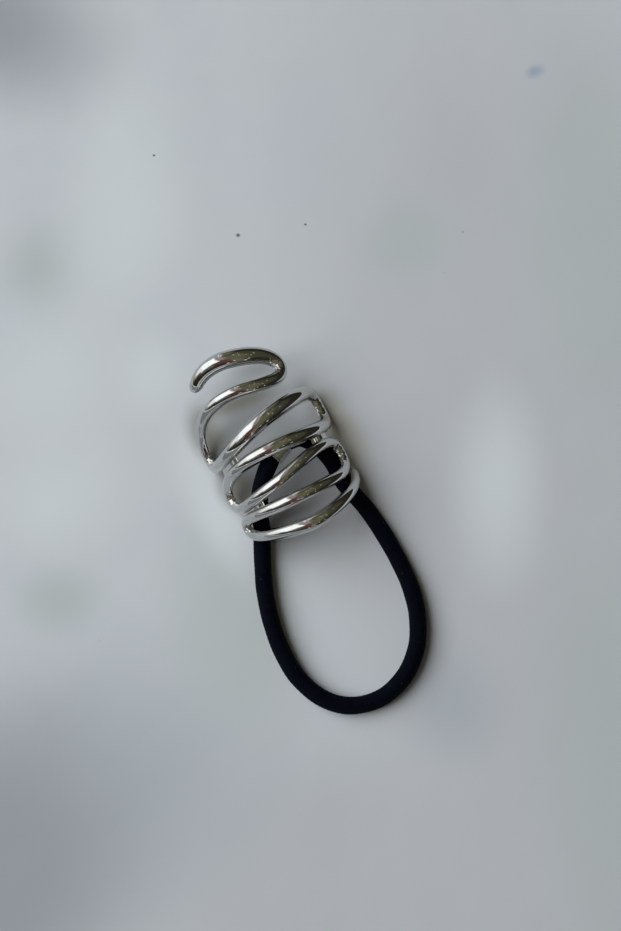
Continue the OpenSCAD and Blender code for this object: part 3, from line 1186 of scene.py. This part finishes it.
# [shape, middle, half length and half width, turn in degrees, softness, colour]
PATCHES = [
    ("oval", (0.10, -0.10), (0.56, 0.29), 103, 0.40, OLIVE),
    ("oval", (0.30, -0.66), (0.34, 0.12), 110, 0.40, (0.17, 0.16, 0.135)),
    ("oval", (-0.25, 0.78), (0.26, 0.16), 100, 0.40, (0.15, 0.15, 0.13)),
    ("oval", (-0.52, 0.70), (0.40, 0.19), 112, 0.30, (0.42, 0.44, 0.46)),
    ("oval", (-0.20, 0.14), (0.55, 0.11), 110, 0.40, (0.33, 0.30, 0.29)),
    ("box", (-0.400, 0.74), (0.26, 0.012), 108, 0.40, (0.95, 0.95, 0.90)),
    ("box", (-0.345, 0.72), (0.24, 0.010), 110, 0.40, (0.80, 0.80, 0.74)),
    ("box", (-0.305, 0.70), (0.18, 0.007), 106, 0.40, (0.70, 0.70, 0.62)),
    ("oval", (-0.30, -0.40), (0.34, 0.17), 110, 0.40, (0.22, 0.22, 0.21)),
    ("oval", (0.02, -0.40), (0.42, 0.13), 114, 0.30, (0.135, 0.062, 0.055)),
    ("oval", (0.12, -0.64), (0.16, 0.10), 114, 0.30, (0.065, 0.036, 0.032)),
    ("oval", (-0.13, -0.66), (0.16, 0.10), 140, 0.35, DARK),
    ("oval", (-0.58, -0.38), (0.46, 0.13), 146, 0.30, (0.085, 0.075, 0.058)),
    ("oval", (-0.86, 0.14), (0.42, 0.26), 100, 0.35, (1.00, 0.98, 0.87)),
    ("oval", (-0.66, 0.26), (0.46, 0.24), 118, 0.25, (1.08, 1.14, 1.16)),
    ("box", (-0.50, 0.20), (0.42, 0.19), 118, 0.16, (1.42, 1.48, 1.48)),
]

# [azimuth, height, size] in degrees of the small lamps
LAMPS = [(82, 62, 1.3), (78, 49, 1.1), (31, 45, 1.3), (311, 29, 1.4), (294, 35, 1.4), (39, 69, 1.1),
         (320, 18, 1.5), (300, 14, 1.5), (285, 24, 1.5), (249, 22, 1.7), (15, 60, 1.1), (350, 50, 1.1)]
LAMP_LIGHT = (2.4, 2.4, 2.0)
print(len(PATCHES), "patches and", len(LAMPS), "lamps on the chart")

# %% [markdown]
# For each ray the shader works out where its direction lies on the chart. Then it lays the patches
# over dim walls, the window last, and the table round the rim and the lamps over them. The camera
# alone sees an even backdrop past the paper's edge.


# %% The chart as a shader
def chart_place(r, ray):
    """Where a direction lies on the chart: X to the picture's right, Y up the picture."""
    level = r.along(ray, (0, 0, 1))
    flat = r.maths("SQRT", r.maths("MAXIMUM", 1 - level * level, 0.000001))
    reach = (1 - r.maths("ARCSINE", level) * (2 / math.pi)) / flat
    return r.node(
        "ShaderNodeCombineXYZ",
        {},
        {"X": reach * r.along(ray, picture_right), "Y": reach * r.along(ray, floor_up)},
    )


def room(r):
    ray = r.node("ShaderNodeTexCoord", {}, {}, "Generated")
    chart = chart_place(r, ray)
    fray = r.node("ShaderNodeTexNoise", {}, {"Vector": chart, "Scale": 7.0, "Detail": 4.0}, "Color")
    shift = r.vectors("SUBTRACT", fray, (0.5, 0.5, 0.5))
    frayed = r.vectors("MULTIPLY_ADD", shift, (CHART_FRAY,) * 3, chart)
    clutter = r.noise(chart, 13, 4, 0.7).between(0.40, 0.62)
    rim = r.vectors("LENGTH", frayed, output="Value").between(0.66, 0.82)
    colour = r.mix(0.4 * clutter * rim, r.mix(rim, DIM_OLIVE, DARK), DIM_OLIVE)
    for shape, middle, half, turn, soft, paint in PATCHES:
        cover = r.inside(frayed, shape, middle, half, turn, soft)
        colour = r.mix(cover, colour, paint)
    low_left = r.inside(chart, "oval", (-0.45, -0.55), (0.62, 0.34), 146, 0.3)
    colour = r.mix(0.8 * low_left * clutter, colour, DARK)
    before = 1 - r.inside(frayed, "oval", TABLE_MIDDLE, BEFORE_TABLE, TABLE_TURN, 0.05)
    colour = r.mix(0.75 * before, colour, DARK)
    far_edge = 1 - r.inside(chart, "oval", (0, 0), FAR_EDGE_FROM, 0, 0.005)
    colour = r.mix(far_edge, colour, TABLE_EDGE)
    table = 1 - r.inside(chart, "oval", TABLE_MIDDLE, TABLE_FROM, TABLE_TURN, 0.015)
    beyond = 1 - r.inside(chart, "oval", TABLE_MIDDLE, TABLE_FLAT_FROM, TABLE_TURN, 0.02)
    colour = r.mix(table, colour, r.mix(beyond, TABLE_EDGE, TABLE))
    for azimuth, height, size in LAMPS:
        lamp = compass(math.radians(azimuth), math.radians(height))
        near = r.along(ray, lamp)
        edge = math.cos(math.radians(size))
        colour = r.mix(near.between(edge, (1 + edge) / 2), colour, LAMP_LIGHT)
    seen = r.node("ShaderNodeLightPath", {}, {}, "Is Camera Ray")
    strength = ON_THE_PAPER + (IN_THE_METAL - ON_THE_PAPER) * seen.part("Is Glossy Ray")
    plain = r.node("ShaderNodeBackground", {}, {"Color": (*BACKDROP, 1)})
    around_us = r.node("ShaderNodeBackground", {}, {"Color": colour, "Strength": strength})
    return r.node("ShaderNodeMixShader", {}, {0: seen, 1: around_us, 2: plain})


world = bpy.data.worlds.new("room")
recipe = Recipe(world)
recipe.node("ShaderNodeOutputWorld", {}, {"Surface": room(recipe)})
bpy.context.scene.world = world
bpy.context.scene.view_settings.view_transform = "Standard"
print("room uses", len(recipe.tree.nodes), "nodes")

# %% [markdown]
# ## Sizes
#
# The dressed part should fill the same room as the plain solids it dresses.
